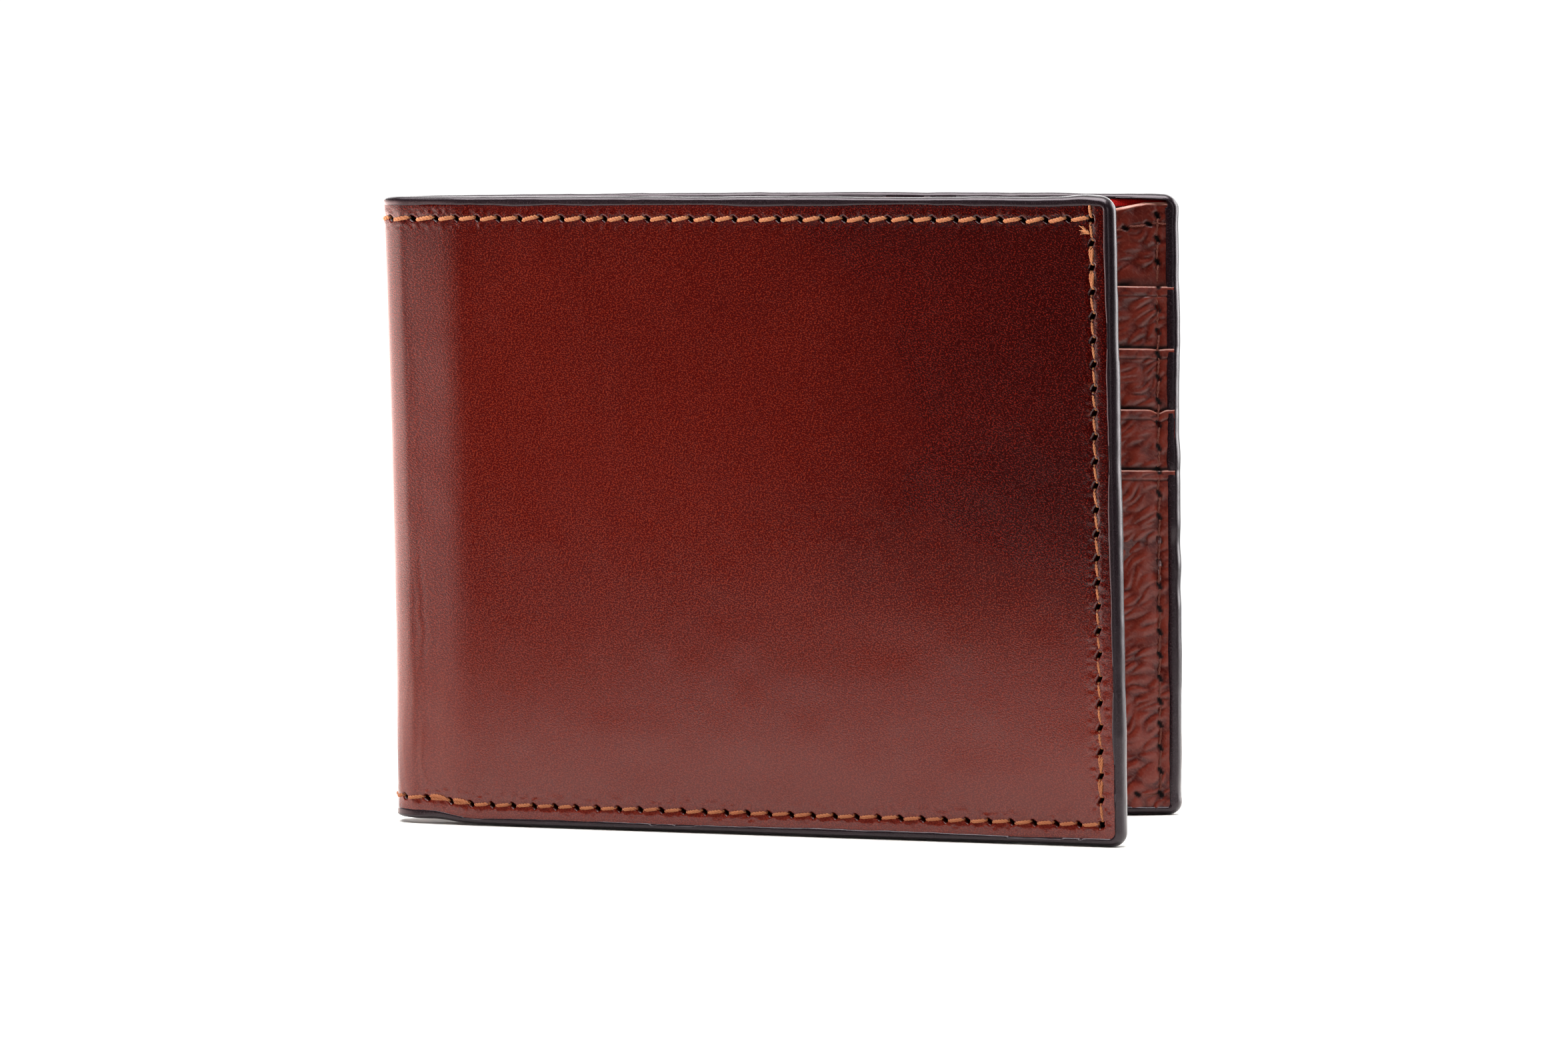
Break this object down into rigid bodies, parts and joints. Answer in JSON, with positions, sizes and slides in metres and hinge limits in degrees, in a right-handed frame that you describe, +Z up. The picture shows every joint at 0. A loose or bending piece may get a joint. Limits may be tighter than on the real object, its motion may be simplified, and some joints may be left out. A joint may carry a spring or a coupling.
{
  "type": "bifold wallet",
  "caption": "Stitched leather bifold wallet with card pockets and a lined note compartment, standing partly open on its long edges and folding shut or flat.",
  "frame": {"origin": "centre of the footprint as the wallet stands partly open, on the surface it stands on", "axes": "+Z up, +X along the back half from the fold to the mouth, +Y out of the back half's outside"},
  "size_m": [0.1124, 0.0504, 0.089],
  "materials": {
    "outer_leather": "smooth, burnished, satin",
    "inner_leather": "pebbled, satin",
    "red_lining": "fine woven, matte",
    "tan_thread": "twisted, waxed",
    "brown_thread": "twisted, waxed",
    "edge_paint": "thick edge paint, semi-gloss"
  },
  "bodies": {
    "back_half": {"back_cover": "outer_leather", "back_cover_lining": "red_lining", "back_divider_lining": "red_lining", "back_divider": "inner_leather", "back_card_pocket_1": "inner_leather", "back_card_pocket_2": "inner_leather", "back_card_pocket_3": "inner_leather", "back_card_pocket_4": "inner_leather", "back_edge_thread": "tan_thread", "back_inner_thread": "brown_thread", "back_pocket_thread": "brown_thread", "back_divider_thread": "brown_thread"},
    "spine": {"spine_cover": "outer_leather", "spine_cover_lining": "red_lining", "spine_divider_lining": "red_lining", "spine_top_thread": "tan_thread", "spine_bottom_thread": "tan_thread"},
    "front_half": {"front_cover": "outer_leather", "front_cover_lining": "red_lining", "front_divider_lining": "red_lining", "front_divider": "inner_leather", "front_card_pocket_1": "inner_leather", "front_card_pocket_2": "inner_leather", "front_card_pocket_3": "inner_leather", "front_card_pocket_4": "inner_leather", "front_edge_thread": "tan_thread", "front_inner_thread": "brown_thread", "front_pocket_thread": "brown_thread", "front_divider_thread": "brown_thread"}
  },
  "joints": [
    {"name": "back_fold", "type": "hinge", "parent": "back_half", "child": "spine", "pos_m": [-0.05351, 0.02384, 0.0445], "axis": [0, 0, -1], "range_deg": [-11, 79]},
    {"name": "front_fold", "type": "hinge", "parent": "spine", "child": "front_half", "pos_m": [-0.05485, 0.01697, 0.0445], "axis": [0, 0, -1], "range_deg": [-11, 79]}
  ],
  "couplings": [
    {"joint": "front_fold", "follows": "back_fold", "ratio": 1}
  ]
}
